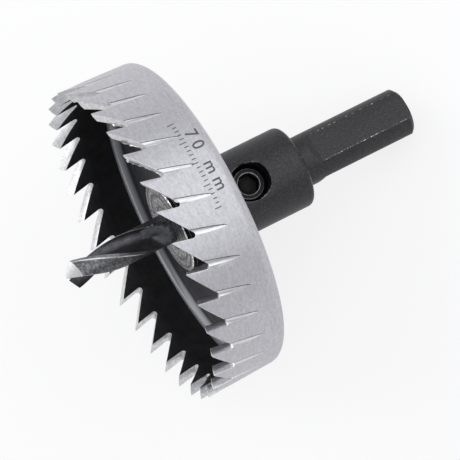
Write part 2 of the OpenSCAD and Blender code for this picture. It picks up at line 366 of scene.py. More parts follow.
@dataclass(frozen=True)
class Finishes:
    """Every finish on the tool, made once."""

    # Turned and brushed tool steel with a satin sheen.
    wall: SteelFinish = SteelFinish(
        "turned_cup_steel", "#c6c5cb", "#a2a1a7", "#d6d5da", Grain.AROUND,
        across_mm=0.2, along_mm=2.2, blotch_mm=0.6, contrast=0.6, blotch=0.5, rough=(0.44, 0.54),
        bump_mm=0.003,
    )
    # Heat-darkened inside of the cup, left as it came from hardening: nearly black.
    inside: SteelFinish = SteelFinish(
        "hardened_scale", "#303032", "#1d1d1f", "#404042", Grain.AROUND,
        across_mm=0.5, along_mm=10.0, blotch_mm=3.0, contrast=0.7, metallic=0.85, rough=(0.4, 0.55),
    )
    # The base inside the cup: the same scale as the inside, painted a lighter dark grey for the light that
    # falls on it.
    base: SteelFinish = SteelFinish(
        "cup_base_painted_light", "#505054", "#3a3a3d", "#626266", Grain.RINGS,
        across_mm=0.5, along_mm=8.0, blotch_mm=3.0, contrast=0.6, metallic=0.85, rough=(0.45, 0.58),
    )
    # The round between wall and base: a painted highlight, a sharp light line that fades to the base's grey.
    seat: PaintedHighlightFinish = PaintedHighlightFinish(
        "round_painted_highlight", "#4e4e52", "#5e5e62", "#d4d4d8", Grain.AROUND,
        across_mm=0.3, along_mm=9.0, rough=(0.28, 0.36), line_at_mm=12.25, line_mm=0.45, fade_to_mm=14.0,
        middle="#86868a",
    )
    # Gullets and tooth faces straight from the grinding wheel: bright, with fine mottling.
    ground: SteelFinish = SteelFinish(
        "ground_tooth_steel", "#dadadc", "#85858a", "#f4f4f5", Grain.MOTTLED,
        blotch_mm=0.9, contrast=0.45, blotch=0.5, bump_mm=0.008,
    )
    # Run-outs of the grinding wheel in the wall: fresher and shinier than the brushed wall.
    runout: SteelFinish = SteelFinish(
        "ground_runout", "#d8d8db", "#b8b8bc", "#eeeef0", Grain.LENGTHWISE,
        across_mm=0.3, along_mm=4.0, blotch_mm=1.5, contrast=0.4, rough=(0.26, 0.34), bump_mm=0.002,
    )
    # The run-outs' upper rim: a dark line of painted shade.
    runout_rim: SteelFinish = SteelFinish(
        "runout_rim", "#6e6e72", "#4c4c50", "#98989c", Grain.MOTTLED,
        across_mm=0.5, blotch_mm=1.2, contrast=0.6, rough=(0.4, 0.5), bump_mm=0.002,
    )
    # Rubbed edges of the bare cup: the brightest lines on it.
    bright_edge: SteelFinish = SteelFinish(
        "bright_steel_edge", "#e2e2e3", "#b0b0b2", "#f4f4f4", Grain.MOTTLED,
        blotch_mm=0.7, contrast=0.4, blotch=0.6, rough=(0.2, 0.3), bump_mm=0.002,
    )
    # Black oxide on turned steel: dark with a soft sheen.
    oxide: SteelFinish = SteelFinish(
        "black_oxide", "#3e3e40", "#2e2e30", "#5a5a5c", Grain.MOTTLED,
        across_mm=0.22, blotch_mm=0.45, blotch=0.45, metallic=0.9, rough=(0.42, 0.55),
    )
    # The same coating on the milled flats.
    oxide_flat: SteelFinish = SteelFinish(
        "black_oxide_milled", "#404042", "#303032", "#5a5a5c", Grain.MOTTLED,
        across_mm=0.22, blotch_mm=0.45, metallic=0.9, rough=(0.42, 0.55),
    )
    # Edges of the coated parts, where it has rubbed through to bright steel in a few spots.
    worn: WornFinish = WornFinish(
        "rubbed_oxide_edge", "#48484a", "#38383a", "#c8c8c8", Grain.MOTTLED,
        across_mm=0.3, metallic=0.95, rough=(0.3, 0.42), spot_mm=0.5, bare=0.33,
    )
    # The flange's face, turned after coating: mottled grey rings.
    faced: RingedFinish = RingedFinish(
        "faced_flange_steel", "#5c5c5f", "#0e0e0f", "#c8c8cb", Grain.MOTTLED,
        across_mm=0.35, blotch_mm=0.5, contrast=1.0, blotch=0.95, rough=(0.35, 0.5), bump_mm=0.012,
        rings_mm=(4.8, 7.4, 9.1),
    )
    # The flange's front corner: turned through the coating, bright but broken up.
    rim: WornFinish = WornFinish(
        "turned_flange_corner", "#6e6e70", "#4c4c4e", "#f0f0f0", Grain.MOTTLED,
        across_mm=0.3, metallic=0.95, rough=(0.3, 0.42), bare=0.55,
    )
    # The set screw, deep in its hole: black oxide painted darker for the shade there, with little left of
    # its sheen.
    screw: SteelFinish = SteelFinish(
        "black_screw_painted_shade", "#1b1b1c", "#101011", "#2c2c2d", Grain.MOTTLED,
        blotch_mm=0.8, metallic=0.8, rough=(0.45, 0.6),
    )
    # The screw's top corners: thin grey rings of painted highlight.
    screw_edge: SteelFinish = SteelFinish(
        "screw_corner_highlight", "#808082", "#4a4a4c", "#a4a4a6", Grain.MOTTLED,
        blotch_mm=0.7, contrast=0.7, rough=(0.3, 0.4), bump_mm=0.003,
    )
    # Drill lands: steam-tempered tool steel with grinding marks.
    land: SteelFinish = SteelFinish(
        "tempered_drill_steel", "#747477", "#38383b", "#b8b8bb", Grain.MOTTLED,
        across_mm=0.22, blotch_mm=0.55, contrast=0.85, blotch=0.6, rough=(0.35, 0.5), bump_mm=0.005,
    )
    # The lands' inner half, which the last grinding left alone: darker.
    land_dark: SteelFinish = SteelFinish(
        "dark_drill_land", "#6a6a6d", "#38383b", "#98989b", Grain.MOTTLED,
        across_mm=0.25, blotch_mm=0.6, contrast=0.8, blotch=0.5, rough=(0.35, 0.5), bump_mm=0.005,
    )
    # The line where that grinding ended.
    land_line: SteelFinish = SteelFinish(
        "ground_land_border", "#8e8e91", "#68686b", "#b0b0b3", Grain.MOTTLED,
        blotch_mm=1.0, rough=(0.3, 0.4), bump_mm=0.002,
    )
    # Drill flutes: the dark temper colour is left in them.
    flute: SteelFinish = SteelFinish(
        "dark_drill_flute", "#5c5c60", "#38383b", "#7a7a7e", Grain.LENGTHWISE,
        along_mm=5.0, blotch_mm=1.5, contrast=0.6, metallic=0.9,
    )
    # The drill's freshly ground point.
    point: SteelFinish = SteelFinish(
        "ground_drill_point", "#ececec", "#b4b4b6", "#ffffff", Grain.MOTTLED,
        blotch_mm=0.8, contrast=0.6, blotch=0.5, rough=(0.3, 0.4), bump_mm=0.003,
    )
    # The drill's guiding strips: ground after the temper, a little lighter than the lands.
    strip: SteelFinish = SteelFinish(
        "ground_drill_strip", "#88888b", "#5c5c5f", "#b4b4b7", Grain.LENGTHWISE,
        across_mm=0.3, along_mm=2.0, blotch_mm=0.7, contrast=0.6, blotch=0.5, rough=(0.28, 0.4),
        bump_mm=0.003,
    )
    # The lands' back corners: a thin light line of painted highlight.
    land_edge: SteelFinish = SteelFinish(
        "drill_heel_highlight", "#d4d4d6", "#8c8c8f", "#ececee", Grain.MOTTLED,
        blotch_mm=1.0, contrast=0.6, rough=(0.25, 0.35), bump_mm=0.002,
    )
    # Wall of the tapped hole: the thread's rings catch a little light.
    tapped: SteelFinish = SteelFinish(
        "tapped_hole", "#303032", "#1e1e20", "#5a5a5c", Grain.MOTTLED,
        blotch_mm=0.7, blotch=0.5, metallic=0.9, rough=(0.3, 0.42),
    )
    # Etched marks: flat dark grey on the cup.
    etched: SteelFinish = SteelFinish(
        "etched_mark", "#5c5c60", "#48484c", "#77777b", Grain.MOTTLED,
        blotch_mm=0.9, blotch=0.5, metallic=0.4, rough=(0.5, 0.65), bump_mm=0.001,
    )


# Mesh helpers


# The most material slots that one piece has.
MOST_SLOTS = 8


def middle_of(edge: Edge) -> Vector:
    """Find the middle of an edge."""
    return (edge.verts[0].co + edge.verts[1].co) / 2


def from_axis(at: Vector) -> float:
    """Measure how far a place is from the tool's axis."""
    return math.hypot(at.x, at.y)


def arc(centre: Point, radius: float, start: float, end: float, steps: int) -> list[Point]:
    """Give points along an arc of an outline.

    Args:
        centre: Middle of the arc.
        radius: Its radius.
        start: First angle in degrees.
        end: Last angle in degrees.
        steps: How many chords.

    Returns:
        The points, both ends included.
    """
    turns = [math.radians(start + (end - start) * i / steps) for i in range(steps + 1)]
    return [(centre[0] + radius * math.cos(a), centre[1] + radius * math.sin(a)) for a in turns]


def placed(name: str, data: bpy.types.ID) -> bpy.types.Object:
    """Put a new object into the scene.

    Args:
        name: Name of the object.
        data: Its mesh, letters, lamp or camera.

    Returns:
        The object.
    """
    thing = bpy.data.objects.new(name, data)
    bpy.context.scene.collection.objects.link(thing)
    return thing


def evaluated(thing: bpy.types.Object) -> bpy.types.Mesh:
    """Copy an object's mesh as its modifiers or its letters make it."""
    graph = bpy.context.evaluated_depsgraph_get()
    return bpy.data.meshes.new_from_object(thing.evaluated_get(graph))


def mesh_from(bm: Shape, name: str) -> bpy.types.Mesh:
    """Write a bmesh to a new mesh and free it.

    Args:
        bm: Shape to write.
        name: Name of the mesh.

    Returns:
        The mesh.
    """
    mesh = bpy.data.meshes.new(name)
    bm.to_mesh(mesh)
    bm.free()
    return mesh


def revolved(outline: Sequence[Point], steps: int) -> Shape:
    """Spin an outline round the tool's axis into a closed shape.

    Args:
        outline: Radius and depth of each corner, in order round the section.
        steps: Facets in a full turn.

    Returns:
        The shape, with its faces outward.
    """
    bm = bmesh.new()
    corners = [bm.verts.new((r, 0.0, z)) for r, z in outline]
    edges = [bm.edges.new((a, b)) for a, b in zip(corners, corners[1:] + corners[:1])]
    bmesh.ops.spin(
        bm, geom=corners + edges, cent=(0, 0, 0), axis=(0, 0, 1), dvec=(0, 0, 0), angle=2 * math.pi,
        steps=steps, use_merge=True, use_normal_flip=False, use_duplicate=False,
    )
    bmesh.ops.remove_doubles(bm, verts=bm.verts, dist=1e-4)
    bmesh.ops.dissolve_degenerate(bm, edges=bm.edges, dist=1e-5)
    bmesh.ops.recalc_face_normals(bm, faces=bm.faces)
    return bm


def prism(outline: Sequence[Point], length: float, place: Matrix) -> Shape:
    """Extrude a flat outline along Z and put it in its place.

    Args:
        outline: Corners of the section.
        length: Length along Z.
        place: Where the prism goes in the tool's frame.

    Returns:
        The closed prism.
    """
    bm = bmesh.new()
    base = bm.faces.new([bm.verts.new((x, y, 0.0)) for x, y in outline])
    grown = bmesh.ops.extrude_face_region(bm, geom=[base])["geom"]
    bmesh.ops.translate(bm, verts=[v for v in grown if isinstance(v, Vert)], vec=(0, 0, length))
    bmesh.ops.transform(bm, matrix=place, verts=bm.verts)
    bmesh.ops.recalc_face_normals(bm, faces=bm.faces)
    return bm


def joined(parts: Iterable[Shape]) -> Shape:
    """Put several shapes into one bmesh, as separate islands.

    Args:
        parts: The shapes; each is freed.

    Returns:
        One shape with all of them.
    """
    whole = bmesh.new()
    for part in parts:
        mesh = mesh_from(part, "joining")
        whole.from_mesh(mesh)
        bpy.data.meshes.remove(mesh)
    return whole


def working(bm: Shape, name: str) -> bpy.types.Object:
    """Put a shape into the scene as an object that later steps use up.

    Args:
        bm: The shape, which is freed.
        name: Name of the object.

    Returns:
        The object, with empty material slots.
    """
    thing = placed(name, mesh_from(bm, name))
    for _ in range(MOST_SLOTS):
        thing.data.materials.append(None)
    return thing


def removed(thing: bpy.types.Object) -> None:
    """Take a working object and its mesh away.

    Args:
        thing: The object.
    """
    mesh = thing.data
    bpy.data.objects.remove(thing)
    bpy.data.meshes.remove(mesh)


def carved(body: Shape, tools: Sequence[Shape], slots: Sequence[int]) -> Shape:
    """Cut tools out of a body, one after another.

    Args:
        body: Shape that is cut.
        tools: Shapes that cut it; each is freed.
        slots: Material slot for the faces that each tool leaves.

    Returns:
        The carved shape.
    """
    target = working(body, "carving")
    for tool, slot in zip(tools, slots):
        for face in tool.faces:
            face.material_index = slot
        cutter = working(tool, "cutter")
        step = target.modifiers.new("cut", "BOOLEAN")
        step.operation, step.solver, step.object = "DIFFERENCE", "EXACT", cutter
        result = evaluated(target)
        target.modifiers.clear()
        old, target.data = target.data, result
        bpy.data.meshes.remove(old)
        removed(cutter)
    bm = bmesh.new()
    bm.from_mesh(target.data)
    removed(target)
    bmesh.ops.remove_doubles(bm, verts=bm.verts, dist=0.002)
    bmesh.ops.dissolve_degenerate(bm, edges=bm.edges, dist=0.001)
    return bm


def soften(bm: Shape, width: float, slot: int, sharper: float, chosen: Callable[[Edge], bool]) -> None:
    """Bevel the sharp edges a little, so that they catch the light.

    Args:
        bm: Shape to finish.
        width: Width of the bevel in millimetres.
        slot: Material slot of the new faces.
        sharper: Smallest angle between two faces that counts as sharp.
        chosen: Test that an edge has to pass.
    """
    bmesh.ops.remove_doubles(bm, verts=bm.verts, dist=width * 0.4)
    bmesh.ops.dissolve_degenerate(bm, edges=bm.edges, dist=width * 0.2)
    least = math.radians(sharper)
    edges = [e for e in bm.edges if e.is_manifold and e.calc_face_angle(0) > least and chosen(e)]
    bmesh.ops.bevel(
        bm, geom=edges, offset=width, offset_type="OFFSET", affect="EDGES", segments=2, profile=0.5,
        material=slot, clamp_overlap=False, loop_slide=True,
    )


def publish(
    bm: Shape, name: str, node: Optional[str], finishes: Sequence[bpy.types.Material],
    smooth: float = 24.0,
) -> bpy.types.Object:
    """Turn a shape into a finished piece that rides on the tool.

    Args:
        bm: Shape in the tool's frame, in millimetres.
        name: Name of the piece.
        node: Solid that the piece stands for, if any.
        finishes: Materials, in the order of the faces' slots.
        smooth: Largest angle that is shaded smooth.

    Returns:
        The piece.
    """
    bmesh.ops.transform(bm, matrix=TO_METRES, verts=bm.verts)
    mesh = mesh_from(bm, name)
    for material in finishes:
        mesh.materials.append(material)
    mesh.shade_smooth()
    mesh.set_sharp_from_angle(angle=math.radians(smooth))
    piece = placed(name, mesh)
    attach(piece, "root")
    if node:
        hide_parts(node)
    log.info("%s: %d faces", name, len(mesh.polygons))
    return piece


def looks(finishes: Materials, kinds: type[IntEnum]) -> list[bpy.types.Material]:
    """List a piece's materials: each kind of surface is named after its finish."""
    return [finishes[kind.name.lower()] for kind in kinds]


# The cup


class CupLook(IntEnum):
    """Kinds of surface on the cup."""

    # The round between wall and base carries a painted highlight, and the run-outs' upper rim a painted
    # shade line.
    WALL, INSIDE, GROUND, BRIGHT_EDGE, RUNOUT, BASE, SEAT, RUNOUT_RIM = range(8)


@dataclass
class SawCup:
    """The turned cup with its ground teeth."""

    finishes: Materials
    radius: float = 35.0
    height: float = 17.7
    wall: float = 2.25
    base: float = 3.3
    taper: float = 0.55
    corner: float = 2.4
    fillet: float = 2.2
    bore: float = 9.02
    wall_rings: tuple[float, float] = (5.5, 11.5)
    base_rings: tuple[float, float] = (24.0, 20.0)
    inner_ring: float = 7.0
    teeth: int = 32
    teeth_to: float = 5.6
    rubbed_to: float = 0.8
    hook: float = 12.5
    back: float = 36.4
    land: float = 0.25
    gullet: float = 0.63
    gullet_steps: int = 12
    slope: float = 15.5
    first_gap: float = 15.9
    past: float = 2.0
    runout: float = 1.25
    runout_cut: float = 0.22
    runout_length: float = 6.9
    runout_lean: float = 13.6
    steps: int = 288

    @property
    def corner_at(self) -> float:
        """Depth at which the back corner starts."""
        return self.height - self.corner

    @property
    def floor(self) -> float:
        """Depth of the base's inner face."""
        return self.height - self.base

    @property
    def inner(self) -> float:
        """Radius of the inside."""
        return self.radius - self.wall

    @property
    def pitch(self) -> float:
        """Straight distance from tip to tip."""
        return 2 * self.radius * math.sin(math.pi / self.teeth)

    @property
    def chord_at(self) -> float:
        """Distance from the axis to the straight line between two tips."""
        return self.radius * math.cos(math.pi / self.teeth)

    @property
    def half_angle(self) -> float:
        """Half the angle in degrees between a tooth's back and the next cutting face."""
        return (90 - self.hook - self.back) / 2

    @property
    def gullet_centre(self) -> Point:
        """Middle of the gullet's round, before the gap leans.

        Returns:
            Distance across from the tooth's tip and distance along.
        """
        back, hook = math.tan(math.radians(self.back)), math.tan(math.radians(self.hook))
        depth = (self.pitch - self.land) / (1 / back - hook)
        off = self.gullet / math.sin(math.radians(self.half_angle))
        turn = math.radians(self.back + self.half_angle)
        return (self.land + depth / back - off * math.cos(turn), depth - off * math.sin(turn))

    def wall_radius(self, depth: float) -> float:
        """Radius of the outside at a depth."""
        return self.radius - self.taper * depth / self.corner_at

    def gap_turn(self, gap: int) -> float:
        """Turn of a gap's middle round the axis, in degrees."""
        return self.first_gap + gap * 360 / self.teeth

    def outline(self) -> list[Point]:
        """Section of the blank, from the mouth's outer edge round to the inside.

        Returns:
            Radius and depth of each corner.
        """
        back = self.radius - self.taper
        rise = math.tan(math.radians(self.slope))
        outer, inner = self.base_rings
        return (
            [(self.radius, 0.0)]
            + [(self.wall_radius(at), at) for at in self.wall_rings]
            + arc((back - self.corner, self.corner_at), self.corner, 0, 90, 10)
            + [(outer, self.height), (self.bore, self.height), (self.bore, self.floor), (inner, self.floor)]
            + arc((self.inner - self.fillet, self.floor - self.fillet), self.fillet, 90, 0, 8)
            + [(self.inner, self.inner_ring), (self.inner, self.wall * rise)]
        )

    def gap_outline(self) -> list[Point]:
        """A tooth gap seen from outside: a tooth's back, the gullet and the next cutting face.

        Returns:
            Corners across and along, from the middle of the gap.
        """
        back, hook = math.tan(math.radians(self.back)), math.tan(math.radians(self.hook))
        points = [(self.pitch - hook * self.past, -self.past), (self.land - self.past / back, -self.past)]
        turns = (90 + self.back, 2 * self.half_angle - 90 + self.back)
        points += arc(self.gullet_centre, self.gullet, *turns, self.gullet_steps)
        shrink = math.cos(math.radians(self.slope))
        return [(s - self.pitch / 2, d * shrink) for s, d in points]

    def gap_place(self, turn: float) -> Matrix:
        """Give the place of a gap's drawing: across, along and outward, at a turn in degrees."""
        lean = spin(self.slope, "Y") @ spin(90, "Z") @ spin(90, "X")
        return spin(turn, "Z") @ Matrix.Translation((self.chord_at, 0, 0)) @ lean

    def gap_tool(self, turn: float) -> Shape:
        """Make the cutter for one tooth gap.

        Args:
            turn: Where the gap is round the axis, in degrees.

        Returns:
            The cutter.
        """
        reach = 2.2 * self.wall
        place = self.gap_place(turn) @ Matrix.Translation((0, 0, -reach))
        return prism(self.gap_outline(), reach + self.past, place)

    def runout_tool(self, turn: float) -> Shape:
        """Make the round tool that leaves a shallow groove below a gullet.

        Args:
            turn: Where the gap is round the axis, in degrees.

        Returns:
            The tool.
        """
        across, deep = self.gullet_centre
        deep += self.gullet
        out_at = deep + self.runout_length
        out_r = self.wall_radius(out_at) + self.runout
        near_r = self.wall_radius(deep) + self.runout - self.runout_cut
        sink = math.atan((out_r - near_r) / self.runout_length)
        lean = math.radians(self.runout_lean)
        along = across - self.gullet / 2 + self.runout_length * math.tan(lean)
        out_turn = along / self.radius - math.pi / self.teeth
        length = (self.runout_length + 1.5) / math.cos(lean)
        place = (
            Matrix.Rotation(math.radians(turn) + out_turn, 4, "Z")
            @ Matrix.Translation((out_r, 0, out_at))
            @ Matrix.Rotation(sink, 4, "Y")
            @ Matrix.Rotation(-lean, 4, "X")
            @ Matrix.Translation((0, 0, -length))
        )
        return prism(arc((0, 0), self.runout, 0, 355, 71), length + 1.0, place)

    def look_at(self, face: Face) -> CupLook:
        """Tell which kind of surface a face is.

        Args:
            face: Face of the turned blank.

        Returns:
            Its kind of surface.
        """
        middle = face.calc_center_median()
        r = from_axis(middle)
        if middle.z < self.rubbed_to and r > self.inner and abs(face.normal.z) > 0.5:
            return CupLook.BRIGHT_EDGE
        if middle.z >= self.floor + 0.01 or r >= self.inner + 0.01:
            return CupLook.WALL
        if middle.z > self.floor - self.fillet and r > self.inner - self.fillet:
            return CupLook.SEAT
        return CupLook.BASE if abs(face.normal.z) > 0.9 else CupLook.INSIDE

    def on_tooth(self, edge: Edge) -> bool:
        """Tell whether an edge belongs to the teeth."""
        return all(v.co.z < self.teeth_to for v in edge.verts)

    def on_upper_rim(self, edge: Edge) -> bool:
        """Tell whether an edge is the rim of a run-out at the side that lies up.

        Args:
            edge: Edge of the cut cup.

        Returns:
            True for such a rim.
        """
        if {f.material_index for f in edge.link_faces} != {CupLook.WALL, CupLook.RUNOUT}:
            return False
        at = middle_of(edge)
        lean = math.tan(math.radians(self.runout_lean))
        turn = (math.atan2(at.y, at.x) - math.radians(self.first_gap)) % (2 * math.pi / self.teeth)
        across, deep = self.gullet_centre
        middle = across - self.gullet / 2 - (deep + self.gullet) * lean - self.radius * math.pi / self.teeth
        return self.radius * turn - at.z * lean < middle

    def build(self) -> bpy.types.Object:
        """Turn the blank, cut the gaps and the run-outs and finish the edges.

        Returns:
            The cup.
        """
        blank = revolved(self.outline(), self.steps)
        for face in blank.faces:
            face.material_index = self.look_at(face)
        start = Matrix.Rotation(math.radians(self.first_gap), 3, "Z")
        bmesh.ops.rotate(blank, verts=blank.verts, cent=(0, 0, 0), matrix=start)
        turns = [self.gap_turn(gap) for gap in range(self.teeth)]
        even = joined(self.gap_tool(t) for t in turns[0::2])
        odd = joined(self.gap_tool(t) for t in turns[1::2])
        grooves = joined(self.runout_tool(t) for t in turns)
        bm = carved(blank, [even, odd, grooves], [CupLook.GROUND, CupLook.GROUND, CupLook.RUNOUT])
        soften(bm, 0.06, CupLook.BRIGHT_EDGE, 35, self.on_tooth)
        # The run-outs' upper rims get a thin line of painted shade.
        soften(bm, 0.1, CupLook.RUNOUT_RIM, 1, self.on_upper_rim)
        return publish(bm, "toothed_cup", "saw_cup", looks(self.finishes, CupLook))


@dataclass(frozen=True)
class Burr:
    """A ragged lip that the grinding wheel left along the edge of one gap.

    The lip runs along the tooth's back from one share of its length to another; past 1 it
    goes round the gullet. It stands at the outer or the inner side of the wall.
    """

    gap: int
    start: float
    end: float
    outer: bool
    rise: float


@dataclass
class Burrs:
    """The few ragged lips on the teeth that the photograph shows."""

    finishes: Materials
    cup: SawCup
    lips: tuple[Burr, ...] = (
        Burr(29, 0.3, 0.62, False, 0.6), Burr(29, 0.62, 1.1, False, 0.75), Burr(30, 0.0, 0.42, False, 0.65),
        Burr(30, 0.5, 0.8, False, 0.5), Burr(30, 0.8, 1.15, False, 0.7), Burr(27, 0.78, 1.3, False, 0.7),
        Burr(27, 0.86, 1.25, True, 0.7), Burr(28, 0.4, 0.8, False, 0.5), Burr(31, 0.86, 1.2, True, 0.6),
        Burr(4, 0.05, 0.3, False, 0.5), Burr(9, 0.6, 1.5, False, 0.8), Burr(10, 0.95, 1.4, False, 0.5),
        Burr(8, 0.8, 1.2, False, 0.5), Burr(16, 0.92, 1.25, False, 0.5),
    )
    parts: int = 16
    thick: float = 0.05
    seed: int = 5

    def path(self) -> list[Point]:
        """Give the line of a gap's edge: down the tooth's back and round the gullet."""
        return [(self.cup.land - self.cup.pitch / 2, 0.0)] + self.cup.gap_outline()[2:]

    def at(self, share: float) -> tuple[Point, Point]:
        """Find a point of the edge and the way into the gap there.

        Args:
            share: Share of the back's length, past 1 round the gullet.

        Returns:
            The point and a unit vector.
        """
        line = self.path()
        if share <= 1:
            a, b, part = line[0], line[1], share
        else:
            step = min((share - 1) * self.cup.gullet_steps, len(line) - 2.01)
            a, b, part = line[1 + int(step)], line[2 + int(step)], step % 1
        dx, dy = b[0] - a[0], b[1] - a[1]
        size = math.hypot(dx, dy)
        return (a[0] + dx * part, a[1] + dy * part), (dy / size, -dx / size)

    def wall_side(self, s: float, d: float, outer: bool) -> float:
        """Find how far out a wall surface lies in a gap's leaning drawing.

        Args:
            s: Place across the gap.
            d: Place along the gap.
            outer: True for the outer surface, False for the inner one.

        Returns:
            Distance outward from the drawing's plane.
        """
        lean = math.radians(self.cup.slope)
        r = self.cup.radius - (0.0 if outer else self.cup.wall)
        return (math.sqrt(r * r - s * s) - self.cup.chord_at - d * math.sin(lean)) / math.cos(lean)

    def lip(self, burr: Burr, chance: random.Random) -> Shape:
        """Make one lip as a thin, crumpled strip.

        Args:
            burr: Where it is and how high it stands.
            chance: Source of the raggedness.

        Returns:
            The lip, closed.
        """
        count = max(4, int((burr.end - burr.start) * self.parts))
        bm = bmesh.new()
        bmesh.ops.create_grid(bm, x_segments=count, y_segments=1, size=0.5)
        ends = sorted(bm.verts, key=lambda v: (round(v.co.y, 3), v.co.x))
        for i, (foot, top) in enumerate(zip(ends[: count + 1], ends[count + 1 :])):
            (s, d), (ns, nd) = self.at(burr.start + (burr.end - burr.start) * i / count)
            side = self.wall_side(s, d, burr.outer)
            foot.co = (s, d, side)
            taper = math.sin(math.pi * (i + 0.6) / (count + 1.2))
            high = burr.rise * chance.uniform(0.2, 1.0) ** 1.5 * taper
            top.co = (s + ns * high, d + nd * high, side + chance.uniform(-0.4, 0.4) * burr.rise)
        bmesh.ops.recalc_face_normals(bm, faces=bm.faces)
        bmesh.ops.solidify(bm, geom=bm.faces[:], thickness=self.thick)
        bmesh.ops.transform(bm, matrix=self.cup.gap_place(self.cup.gap_turn(burr.gap)), verts=bm.verts)
        return bm

    def build(self) -> bpy.types.Object:
        """Make every lip.

        Returns:
            The lips as one piece.
        """
        chance = random.Random(self.seed)
        whole = joined(self.lip(burr, chance) for burr in self.lips)
        return publish(whole, "tooth_burrs", None, [self.finishes["bright_edge"]])


# The marks


@dataclass
class SizeMarks:
    """Plain numbers and a tick scale, etched on the cup where the real one carries its print."""

    finishes: Materials
    cup: SawCup
    words: str = "70 mm"
    word_height: float = 2.6
    word_at: float = 13.1
    middle_turn: float = 1.5
    tick_at: float = 10.9
    tick_count: int = 21
    tick_width: float = 0.21
    tick_long: float = 1.5
    tick_short: float = 0.9
    slice_mm: float = 0.35
    proud: float = 0.012

    def wrapped(self, bm: Shape) -> Shape:
        """Lay a flat drawing on the cup: its X runs round the wall and its Y along the axis.

        Args:
            bm: Drawing in the XY plane, in millimetres, centred on X = 0.

        Returns:
            The same drawing, a hair above the wall.
        """
        lowest, highest = (f(v.co.x for v in bm.verts) for f in (min, max))
        at = lowest + self.slice_mm
        while at < highest:
            everything = bm.verts[:] + bm.edges[:] + bm.faces[:]
            bmesh.ops.bisect_plane(bm, geom=everything, plane_co=(at, 0, 0), plane_no=(1, 0, 0))
            at += self.slice_mm
        for vert in bm.verts:
            radius = self.cup.wall_radius(vert.co.y) + self.proud + vert.co.z
            turn = math.radians(self.middle_turn) + vert.co.x / self.cup.radius
            vert.co = (radius * math.cos(turn), radius * math.sin(turn), vert.co.y)
        return bm

    def letters(self) -> Shape:
        """Draw the number flat.

        Returns:
            The drawing, standing on its line.
        """
        curve = bpy.data.curves.new("number", "FONT")
        curve.body, curve.size, curve.align_x = self.words, self.word_height * 1.4, "CENTER"
        curve.space_character, curve.resolution_u, curve.offset = 1.55, 6, 0.035
        holder = placed("number", curve)
        mesh = evaluated(holder)
        bm = bmesh.new()
        bm.from_mesh(mesh)
        bmesh.ops.remove_doubles(bm, verts=bm.verts, dist=1e-4)
        bmesh.ops.translate(bm, verts=bm.verts, vec=(0, self.word_at, 0))
        bpy.data.objects.remove(holder)
        bpy.data.curves.remove(curve)
        bpy.data.meshes.remove(mesh)
        return bm

    def ticks(self) -> Shape:
        """Draw the tick scale flat: one tick a millimetre, every fifth one longer.

        Returns:
            The drawing.
        """
        bm = bmesh.new()
        for i in range(self.tick_count):
            tall = self.tick_long if i % 5 == 0 else self.tick_short
            x = i - (self.tick_count - 1) / 2
            made = bmesh.ops.create_grid(bm, x_segments=1, y_segments=1, size=0.5)["verts"]
            bmesh.ops.scale(bm, verts=made, vec=(self.tick_width, tall, 1))
            bmesh.ops.translate(bm, verts=made, vec=(x, self.tick_at + self.tick_long - tall / 2, 0))
        return bm

    def build(self) -> bpy.types.Object:
        """Draw the number and the scale and lay them on the wall.

        Returns:
            The marks.
        """
        whole = joined([self.wrapped(self.letters()), self.wrapped(self.ticks())])
        return publish(whole, "size_marks", None, [self.finishes["etched"]])


# The arbor


class ArborLook(IntEnum):
    """Kinds of surface on the arbor."""

    OXIDE, FACED, OXIDE_FLAT, WORN, TAPPED, RIM = range(6)


